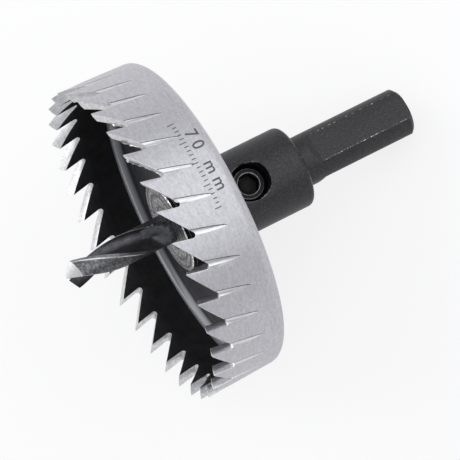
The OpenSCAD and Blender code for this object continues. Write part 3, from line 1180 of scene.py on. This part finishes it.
@dataclass
class Arbor:
    """The turned bar that carries the cup and the drill."""

    finishes: Materials
    flange_r: float = 10.0
    flange_at: float = 9.4
    floor_at: float = 14.4
    chamfer: float = 0.22
    groove: float = 0.75
    groove_cut: float = 0.35
    body_r: float = 9.0
    body_end: float = 39.6
    body_corner: float = 1.3
    body_rings: tuple[float, float] = (22.0, 32.0)
    shank_r: float = 5.5
    shank_end: float = 66.2
    neck: float = 2.7
    flat_cut: float = 1.03
    ramp: float = 30.0
    shank_chamfer: float = 0.9
    bore_r: float = 3.3
    bore_end: float = 35.2
    hole_r: float = 4.05
    hole_from: float = 2.0
    hole_length: float = 9.0
    thread: tuple[float, float] = (2.2, 8.2)
    thread_cut: float = 0.35
    worn_corner: tuple[float, float] = (44.0, 78.0)
    worn_shank: tuple[float, float] = (54.0, 65.0)
    shank_edge_r: float = 4.2
    body_edge_r: float = 8.2
    steps: int = 144

    def outline(self) -> list[Point]:
        """Section of the bar, from the bore's mouth round to its bottom.

        Returns:
            Radius and depth of each corner.
        """
        front = self.flange_at + self.chamfer
        back = front + self.groove
        inner = self.flange_r - self.groove_cut
        end = self.body_end
        cone = self.bore_end + self.bore_r / math.tan(math.radians(DRILL_POINT / 2))
        return (
            [(self.bore_r, self.flange_at), (self.flange_r - self.chamfer, self.flange_at)]
            + [(self.flange_r, front), (self.flange_r, front + 0.01), (inner, front + 0.06)]
            + [(inner, back - 0.05), (self.flange_r, back), (self.flange_r, back + 0.15)]
            + [(self.flange_r, self.floor_at), (self.body_r, self.floor_at)]
            + [(self.body_r, at) for at in self.body_rings]
            + arc((self.body_r - self.body_corner, end - self.body_corner), self.body_corner, 0, 90, 8)
            + [(self.shank_r + 0.25, end), (self.shank_r, end + 0.25)]
            + [(self.shank_r, self.shank_end - self.shank_chamfer)]
            + [(self.shank_r - self.shank_chamfer, self.shank_end), (0.0, self.shank_end), (0.0, cone)]
            + [(self.bore_r, self.bore_end)]
        )

    def flat_tool(self, turn: float) -> Shape:
        """Make the mill's cut for one flat.

        Args:
            turn: Where the flat is round the axis, in degrees.

        Returns:
            The cutter.
        """
        start = self.body_end + self.neck
        run = self.flat_cut / math.tan(math.radians(self.ramp))
        flat = self.shank_r - self.flat_cut
        corners = [
            (self.shank_r, start), (flat, start + run), (flat, self.shank_end + 1),
            (self.shank_r + 1, self.shank_end + 1), (self.shank_r + 1, start - run / self.flat_cut),
        ]
        place = spin(turn, "Z") @ spin(90, "X") @ Matrix.Translation((0, 0, -self.shank_r * 2))
        return prism(corners, self.shank_r * 4, place)

    def hole_tool(self) -> Shape:
        """Make the ridged tool for the set screw's tapped hole.

        Returns:
            The tool, in its place.
        """
        ridges: list[Point] = []
        depth, thread_end = self.thread
        while depth < thread_end:
            ridges += [(self.hole_r, depth), (self.hole_r + self.thread_cut, depth + THREAD_PITCH / 2)]
            depth += THREAD_PITCH
        end = [(self.hole_r, depth), (self.hole_r, self.hole_length), (0.0, self.hole_length)]
        tool = revolved([(0.0, 0.0), (self.hole_r, 0.0)] + ridges + end, 96)
        place = spin(SCREW_TURN, "Z") @ Matrix.Translation((self.hole_from, 0, SCREW_AT)) @ spin(90, "Y")
        bmesh.ops.transform(tool, matrix=place, verts=tool.verts)
        return tool

    def look_at(self, face: Face) -> ArborLook:
        """Tell which kind of surface a face is.

        Args:
            face: Face of the turned bar.

        Returns:
            Its kind of surface.
        """
        middle = face.calc_center_median()
        r = from_axis(middle)
        past = middle.z - self.body_end + self.body_corner
        corner = math.degrees(math.atan2(past, r - self.body_r + self.body_corner))
        on_round = r > self.shank_r + 0.5 and middle.z > self.body_end - self.body_corner
        if on_round and self.worn_corner[0] < corner < self.worn_corner[1]:
            return ArborLook.WORN
        if middle.z < self.flange_at + 0.05 and r < self.flange_r - self.chamfer:
            return ArborLook.FACED
        front = self.flange_at + self.chamfer
        back = front + self.groove
        beside = self.flange_at + 0.05 <= middle.z < front or back < middle.z < back + 0.14
        return ArborLook.RIM if beside and r > self.body_r else ArborLook.OXIDE

    def on_shank(self, at: Vector) -> bool:
        """Tell whether a place is outside on the shank."""
        return at.z > self.body_end + 1 and from_axis(at) > self.shank_edge_r

    def rubbed(self, edge: Edge) -> bool:
        """Tell whether an edge rubs: round the hole and on the outer half of the shank.

        Args:
            edge: Edge of the milled bar.

        Returns:
            True for an edge that rubs.
        """
        at = middle_of(edge)
        round_hole = self.floor_at + 1 < at.z < self.body_end - 3 and from_axis(at) > self.body_edge_r
        return round_hole or (self.on_shank(at) and self.worn_shank[0] < at.z < self.worn_shank[1])

    def coated(self, edge: Edge) -> bool:
        """Tell whether an edge is on the rest of the shank, where it keeps its coating."""
        at = middle_of(edge)
        return self.on_shank(at) and (at.z < self.worn_shank[0] or at.z > self.worn_shank[1])

    def build(self) -> bpy.types.Object:
        """Turn the bar, mill the flats, drill the hole and rub the edges.

        Returns:
            The arbor.
        """
        bar = revolved(self.outline(), self.steps)
        for face in bar.faces:
            face.material_index = self.look_at(face)
        tools = [self.flat_tool(120 * i) for i in range(3)] + [self.hole_tool()]
        bm = carved(bar, tools, [ArborLook.OXIDE_FLAT] * 3 + [ArborLook.TAPPED])
        soften(bm, 0.1, ArborLook.WORN, 20, self.rubbed)
        soften(bm, 0.1, ArborLook.OXIDE_FLAT, 20, self.coated)
        return publish(bm, "arbor_bar", "arbor", looks(self.finishes, ArborLook))


# The drill


class DrillLook(IntEnum):
    """Kinds of surface on the drill."""

    LAND, STRIP, FLUTE, POINT, LAND_EDGE, LAND_DARK, LAND_LINE = range(7)


@dataclass
class PilotDrill:
    """The two-flute twist drill in the arbor's bore."""

    finishes: Materials
    radius: float = 3.25
    tip_at: float = -14.8
    end_at: float = 35.2
    flutes_to: float = 16.0
    lead: float = 50.0
    land: float = 80.0
    web: float = 1.3
    margin: float = 0.68
    margin_cut: float = 0.05
    lift_from: float = 3.1
    lift_length: float = 5.6
    lift_width: float = 80.0
    flute_depth: float = 2.75
    ground_to: float = -0.9
    relief: float = 12.0
    turn: float = -63.0
    line_from: float = 3.3
    seat_r: float = 2.3
    seat_length: float = 8.8
    end_chamfer: float = 0.4
    steps: int = 84
    point_steps: int = 14
    point_length: float = 3.35

    @property
    def fluted_length(self) -> float:
        """Length of the fluted part with its point."""
        return self.flutes_to - self.tip_at

    @property
    def fluted_r(self) -> float:
        """Radius of the fluted part, a hair inside the solid's."""
        return self.radius - 0.01

    @property
    def land_r(self) -> float:
        """Radius of a land behind its guiding strip."""
        return self.fluted_r - self.margin_cut

    def half_section(self) -> list[Corner]:
        """Half of the fluted section, from a land's leading edge to the other land's.

        Returns:
            For each corner the angle past the leading edge, the radius and the depth behind
            the point.
        """
        r, low = self.fluted_r, self.land_r
        margin = math.degrees(self.margin / self.radius)
        lip_turn = math.degrees(math.asin(self.web / 2 / r))
        lip = r * math.cos(math.radians(lip_turn))
        rise = 1 / math.tan(math.radians(DRILL_POINT / 2))
        relief = math.tan(math.radians(self.relief))

        def at(a: float, q: float) -> Corner:
            """A corner on the point's relieved surface, at an angle and a radius."""
            return a, q, q * rise * math.cos(math.radians(lip_turn)) + relief * q * math.radians(a)

        corners = [at(margin * i / 3, r) for i in range(4)]
        back = margin + 1.5
        corners += [at(back + (self.land - margin - 1.5) * i / 8, low) for i in range(9)]
        start = 0.27 * self.web
        away = math.radians(180 + lip_turn - self.land)
        heel = (low * math.cos(away), low * math.sin(away))
        up = heel[1] - self.web / 2
        bend = ((heel[0] - start) ** 2 + up * up) / (2 * up)
        mid = (start, self.web / 2 + bend)
        first = math.degrees(math.atan2(heel[1] - mid[1], heel[0] - mid[0]))
        for x, y in arc(mid, bend, first, 270, 14)[1:-1]:
            corners.append(at(180 + lip_turn - math.degrees(math.atan2(y, x)), math.hypot(x, y)))
        for i in range(5):
            t = start + (lip - start) * i / 5
            a = 180 + lip_turn - math.degrees(math.atan2(self.web / 2, t))
            corners.append((a, math.hypot(t, self.web / 2), t * rise))
        return corners

    def past_edge(self, at: Vector) -> float:
        """Angle of a point past the leading edge of its land, in degrees."""
        flute = self.turn + 360 * (at.z - self.tip_at) / self.lead
        return (math.degrees(math.atan2(at.y, at.x)) - flute) % 180

    def wound(self, section: Sequence[Corner]) -> tuple[Shape, list[list[Vert]]]:
        """Wind a section along the axis, in even steps.

        Args:
            section: Angle, radius and depth behind the point of each corner.

        Returns:
            The fluted sides, open at both ends, and their rings from the tip on.
        """
        bm = bmesh.new()
        corners = []
        for a, r, _ in section:
            way = math.radians(a + self.turn)
            corners.append(bm.verts.new((r * math.cos(way), r * math.sin(way), self.tip_at)))
        sides = [bm.edges.new((a, b)) for a, b in zip(corners, corners[1:] + corners[:1])]
        rings = [corners]
        step = self.fluted_length / self.steps
        turn = Matrix.Rotation(2 * math.pi * self.fluted_length / self.lead / self.steps, 3, "Z")
        for _ in range(self.steps):
            grown = bmesh.ops.extrude_edge_only(bm, edges=sides)["geom"]
            verts = [v for v in grown if isinstance(v, Vert)]
            fresh = set(verts)
            sides = [e for e in grown if isinstance(e, Edge) and all(v in fresh for v in e.verts)]
            bmesh.ops.rotate(bm, verts=verts, cent=(0, 0, 0), matrix=turn)
            bmesh.ops.translate(bm, verts=verts, vec=(0, 0, step))
            rings.append(verts)
        return bm, rings

    def behind_tip(self, section: Sequence[Corner], at: Vector, wound: float) -> float:
        """Find how deep the point's surface lies at a vertex of a ring.

        Args:
            section: Angle, radius and depth behind the point of each corner.
            at: The vertex, where winding put it.
            wound: How far its ring has turned, in degrees.

        Returns:
            The depth of the section's corner that the vertex belongs to.
        """
        a = (math.degrees(math.atan2(at.y, at.x)) - self.turn - wound) % 360

        def apart(corner: Corner) -> float:
            """How far a corner is from the vertex, in turn and radius."""
            between = (corner[0] - a) % 360
            return min(between, 360 - between) + abs(corner[1] - at.xy.length)

        return min(section, key=apart)[2]

    def shape_point(self, section: Sequence[Corner], rings: Sequence[Sequence[Vert]]) -> None:
        """Slide the rings along their flutes, the first one onto the point's surface.

        Args:
            section: Angle, radius and depth behind the point of each corner.
            rings: Rings of the fluted sides, from the tip on.
        """
        step_move = self.fluted_length / self.steps
        step_turn = math.degrees(2 * math.pi * self.fluted_length / self.lead / self.steps)
        for k, ring in enumerate(rings):
            past = (k - self.point_steps) / (self.steps - self.point_steps)
            for vert in ring:
                if past < 0:
                    tip = self.behind_tip(section, vert.co, step_turn * k)
                    depth = tip + (self.point_length - tip) * k / self.point_steps
                else:
                    depth = self.point_length + (self.fluted_length - self.point_length) * past
                move = depth - step_move * k
                vert.co = Matrix.Rotation(2 * math.pi * move / self.lead, 3, "Z") @ vert.co
                vert.co.z = self.tip_at + depth

    def lift(self, vert: Vert) -> None:
        """Close the flutes near the arbor, where the milling wheel left the steel along an arc.

        Args:
            vert: Vertex of the fluted sides, which is moved outward there.
        """
        past = min((vert.co.z - self.lift_from) / self.lift_length, 1.0)
        r = vert.co.xy.length
        if past <= 0 or r >= self.land_r:
            return
        off = abs(self.past_edge(vert.co) - (180 + self.land) / 2)
        away = off / (self.lift_width * math.sqrt(1.001 - past))
        deep = self.flute_depth * (1 - past * past) * max(0.0, 1 - away * away)
        scale = max(r, self.land_r - deep) / r
        vert.co = (vert.co.x * scale, vert.co.y * scale, vert.co.z)

    def look_at(self, face: Face) -> DrillLook:
        """Tell whether a face is guiding strip, freshly ground land, dark land or flute.

        Args:
            face: Face of the fluted sides.

        Returns:
            Its kind of surface.
        """
        middle = face.calc_center_median()
        out = Vector((middle.x, middle.y, 0))
        r = out.length
        if r < self.radius - 0.3 or abs(face.normal.dot(out.normalized())) < 0.9:
            return DrillLook.FLUTE
        if r > self.radius - 0.03:
            return DrillLook.STRIP
        share = self.past_edge(middle) / self.land
        ground = share < 1 and middle.z < self.ground_to - 3.0 * abs(share - 0.45)
        return DrillLook.LAND if ground else DrillLook.LAND_DARK

    def close(self, bm: Shape, tip_ring: Sequence[Vert]) -> None:
        """Close the tip with the point's faces, and the other end flat.

        Args:
            bm: The fluted sides.
            tip_ring: Their first ring.
        """
        first = set(tip_ring)
        rim = [e for e in bm.edges if e.is_boundary and all(v in first for v in e.verts)]
        tip = bmesh.ops.contextual_create(bm, geom=rim)["faces"]
        poked = bmesh.ops.poke(bm, faces=tip)
        for vert in poked["verts"]:
            vert.co = (0, 0, self.tip_at)
        for face in poked["faces"]:
            face.material_index = DrillLook.POINT
        bmesh.ops.contextual_create(bm, geom=[e for e in bm.edges if e.is_boundary])
        bmesh.ops.recalc_face_normals(bm, faces=bm.faces)

    def is_heel(self, edge: Edge) -> bool:
        """Tell whether an edge is the back corner of a land, beside a flute.

        Args:
            edge: Edge of the closed drill.

        Returns:
            True for such a corner.
        """
        slots = {f.material_index for f in edge.link_faces}
        low, high = (f(v.co.z for v in edge.verts) for f in (min, max))
        beside = DrillLook.FLUTE in slots and bool(slots & {DrillLook.LAND, DrillLook.LAND_DARK})
        return beside and low > self.tip_at + 0.1 and high < self.lift_from + 2

    def is_ground_end(self, edge: Edge) -> bool:
        """Tell whether an edge bounds the freshly ground part of a land.

        Args:
            edge: Edge of the closed drill.

        Returns:
            True for such a border.
        """
        slots = {f.material_index for f in edge.link_faces}
        beside = DrillLook.LAND in slots and bool(slots & {DrillLook.LAND_DARK, DrillLook.STRIP})
        return beside and min(v.co.z for v in edge.verts) > self.tip_at + self.line_from

    def shank(self) -> Shape:
        """Make the plain shank with its flat for the set screw.

        Returns:
            The shank, closed.
        """
        start, end, chamfer = self.flutes_to - 0.5, self.end_at, self.end_chamfer
        outline = [(0.0, start), (self.radius, start), (self.radius, end - chamfer)]
        turned = revolved(outline + [(self.radius - chamfer, end), (0.0, end)], 64)
        far = self.seat_r + 4
        mill = prism(
            [(self.seat_r, -4), (far, -4), (far, 4), (self.seat_r, 4)], self.seat_length,
            spin(SCREW_TURN, "Z") @ Matrix.Translation((0, 0, SCREW_AT - self.seat_length / 2)),
        )
        bm = carved(turned, [mill], [DrillLook.LAND_DARK])
        for face in bm.faces:
            face.material_index = DrillLook.LAND_DARK
        return bm

    def build(self) -> bpy.types.Object:
        """Wind the section along the axis, shape the point and add the shank.

        Returns:
            The drill.
        """
        half = self.half_section()
        section = half + [(a + 180, r, depth) for a, r, depth in half]
        bm, rings = self.wound(section)
        self.shape_point(section, rings)
        for vert in bm.verts:
            self.lift(vert)
        bm.normal_update()
        for face in bm.faces:
            face.material_index = self.look_at(face)
        self.close(bm, rings[0])
        # A painted highlight along the lands' back corners.
        soften(bm, 0.14, DrillLook.LAND_EDGE, 10, self.is_heel)
        soften(bm, 0.06, DrillLook.LAND_LINE, -1, self.is_ground_end)
        whole = joined([bm, self.shank()])
        finishes = looks(self.finishes, DrillLook)
        return publish(whole, "twist_drill", "pilot_drill", finishes, smooth=30)


# The set screw


class ScrewLook(IntEnum):
    """Kinds of surface on the set screw."""

    SCREW, SCREW_EDGE = range(2)


@dataclass
class SetScrew:
    """The socket screw that holds the drill."""

    finishes: Materials
    radius: float = 4.0
    length: float = 4.0
    foot: float = 2.3
    across_flats: float = 4.0
    socket: float = 2.4
    chamfer: float = 0.75
    end_chamfer: float = 1.12
    thread_cut: float = 0.6

    def outline(self) -> list[Point]:
        """Section of the screw, with its thread as rings.

        Returns:
            Radius and height of each corner, from the end that bears on the drill.
        """
        top = self.length - self.chamfer
        ridges: list[Point] = []
        z = self.end_chamfer + 0.05
        while z + THREAD_PITCH < top + 0.3:
            ridges += [(self.radius, z), (self.radius - self.thread_cut, z + THREAD_PITCH / 2)]
            z += THREAD_PITCH
        head = [(self.radius, top), (self.radius - self.chamfer, self.length), (0.0, self.length)]
        return [(0.0, 0.0), (self.radius - self.end_chamfer, 0.0)] + ridges + head

    def on_top(self, edge: Edge) -> bool:
        """Tell whether an edge is a ring on the screw's top."""
        return all(v.co.z > self.length - self.chamfer - 0.2 for v in edge.verts)

    def build(self) -> bpy.types.Object:
        """Turn the screw, broach its socket and put it in its hole.

        Returns:
            The screw.
        """
        top, bottom = self.length, self.length - self.socket
        corner = self.across_flats / 2 / math.cos(math.radians(30))
        hexagon = prism(arc((0, 0), corner, 0, 300, 5), self.socket + 1, Matrix.Translation((0, 0, bottom)))
        cone = [(0.0, top - 0.35), (corner - 0.3, top - 0.35), (corner + 0.3, top + 0.25), (0.0, top + 0.25)]
        drilled = [(0.0, bottom - 0.9), (1.7, bottom), (1.7, top - 0.5), (0.0, top - 0.5)]
        # The socket and its bore take the screw's painted shade as well.
        tools = [hexagon, revolved(cone, 64), revolved(drilled, 48)]
        bm = carved(revolved(self.outline(), 96), tools, [ScrewLook.SCREW] * 3)
        # Rings of painted highlight on the top's corners.
        soften(bm, 0.1, ScrewLook.SCREW_EDGE, 20, self.on_top)
        place = spin(SCREW_TURN, "Z") @ Matrix.Translation((self.foot, 0, SCREW_AT)) @ spin(90, "Y")
        bmesh.ops.transform(bm, matrix=place, verts=bm.verts)
        return publish(bm, "socket_screw", "set_screw", looks(self.finishes, ScrewLook))


# The stage


@dataclass
class Studio:
    """Plain pale floor, soft light and the camera."""

    floor_white: float = 0.76
    sky_low: float = 0.45
    sky_high: float = 0.69

    def floor(self) -> bpy.types.Object:
        """Make the floor, which the camera sees as white but for the shadow.

        Returns:
            The floor.
        """
        bm = bmesh.new()
        bmesh.ops.create_grid(bm, x_segments=1, y_segments=1, size=3.0)
        plane = placed("floor", mesh_from(bm, "floor"))
        paper = bpy.data.materials.new("pale_floor")
        tree = fresh_tree(paper)
        seen = add(tree, "ShaderNodeLightPath").outputs
        plain = add(tree, "ShaderNodeBsdfDiffuse", {"Color": (0.9, 0.9, 0.9, 1)})
        white = add(tree, "ShaderNodeEmission", {"Color": (1, 1, 1, 1), "Strength": 1.0})
        rays = {0: seen["Is Camera Ray"], 1: seen["Is Glossy Ray"]}
        shown = add(tree, "ShaderNodeMath", rays, operation="MAXIMUM").outputs[0]
        part = add(tree, "ShaderNodeMath", {0: shown, 1: self.floor_white}, operation="MULTIPLY").outputs[0]
        mixed = add(tree, "ShaderNodeMixShader", {0: part, 1: plain.outputs[0], 2: white.outputs[0]})
        add(tree, "ShaderNodeOutputMaterial", {"Surface": mixed.outputs[0]})
        plane.data.materials.append(paper)
        return plane

    def sky(self) -> None:
        """Make the surrounding light, brighter above than level, and white where the camera sees it."""
        world = bpy.data.worlds.new("studio")
        bpy.context.scene.world = world
        tree = fresh_tree(world)
        seen = add(tree, "ShaderNodeLightPath").outputs["Is Camera Ray"]
        way = add(tree, "ShaderNodeTexCoord").outputs["Generated"]
        up = add(tree, "ShaderNodeSeparateXYZ", {0: way}).outputs[2]
        rise = {0: up, 1: -0.1, 2: 0.5, 3: self.sky_low, 4: self.sky_high}
        power = add(tree, "ShaderNodeMapRange", rise, clamp=True).outputs[0]
        soft = add(tree, "ShaderNodeBackground", {"Color": (0.97, 0.98, 1.0, 1), "Strength": power})
        white = add(tree, "ShaderNodeBackground", {"Color": (1, 1, 1, 1), "Strength": 1.0})
        mixed = add(tree, "ShaderNodeMixShader", {0: seen, 1: soft.outputs[0], 2: white.outputs[0]})
        add(tree, "ShaderNodeOutputWorld", {"Surface": mixed.outputs[0]})

    def lamp(self, name: str, place: Vector, aim: Vector, size: float, power: float) -> None:
        """Hang a soft square lamp.

        Args:
            name: Name of the lamp.
            place: Where it hangs, in metres.
            aim: What it points at.
            size: Side of the square.
            power: Power in watts.
        """
        data = bpy.data.lights.new(name, "AREA")
        data.shape, data.size, data.energy = "SQUARE", size, power
        lamp = placed(name, data)
        lamp.location = place
        lamp.rotation_euler = (aim - place).to_track_quat("-Z", "Y").to_euler()

    def camera(self) -> None:
        """Make the camera at the photograph's viewing angle, looking down on the tool."""
        data = bpy.data.cameras.new("camera")
        data.sensor_width, data.lens = 36.0, 248.5426
        data.clip_start, data.clip_end = 0.01, 20.0
        camera = placed("camera", data)
        camera.location = (0.16154536, -0.18179344, 0.64019491)
        camera.rotation_euler = [math.radians(a) for a in (5.424253, 20.781927, -31.811207)]
        bpy.context.scene.camera = camera

    def build(self) -> None:
        """Set up the floor, the light and the camera."""
        self.floor()
        self.sky()
        middle = Vector((0.0, 0.0, 0.03))
        self.lamp("key_lamp", Vector((0.3, 0.9, 0.22)), middle, 0.4, 0.2)
        self.lamp("side_lamp", Vector((-0.52, 0.73, 0.55)), middle, 1.05, 4.8)
        self.lamp("top_lamp", Vector((0.65, -0.1, 0.7)), middle, 1.3, 4.4)
        self.camera()


def main() -> None:
    """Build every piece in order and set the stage."""
    logging.basicConfig(level=logging.INFO, format="%(message)s")
    bpy.context.scene.view_settings.view_transform = "Standard"
    chosen = Finishes()
    finishes = {name: getattr(chosen, name).build() for name in chosen.__dataclass_fields__}
    cup = SawCup(finishes)
    dressing = (Burrs(finishes, cup), SizeMarks(finishes, cup))
    for maker in (cup, *dressing, Arbor(finishes), PilotDrill(finishes), SetScrew(finishes)):
        maker.build()
    Studio().build()


if __name__ == "__main__":
    main()
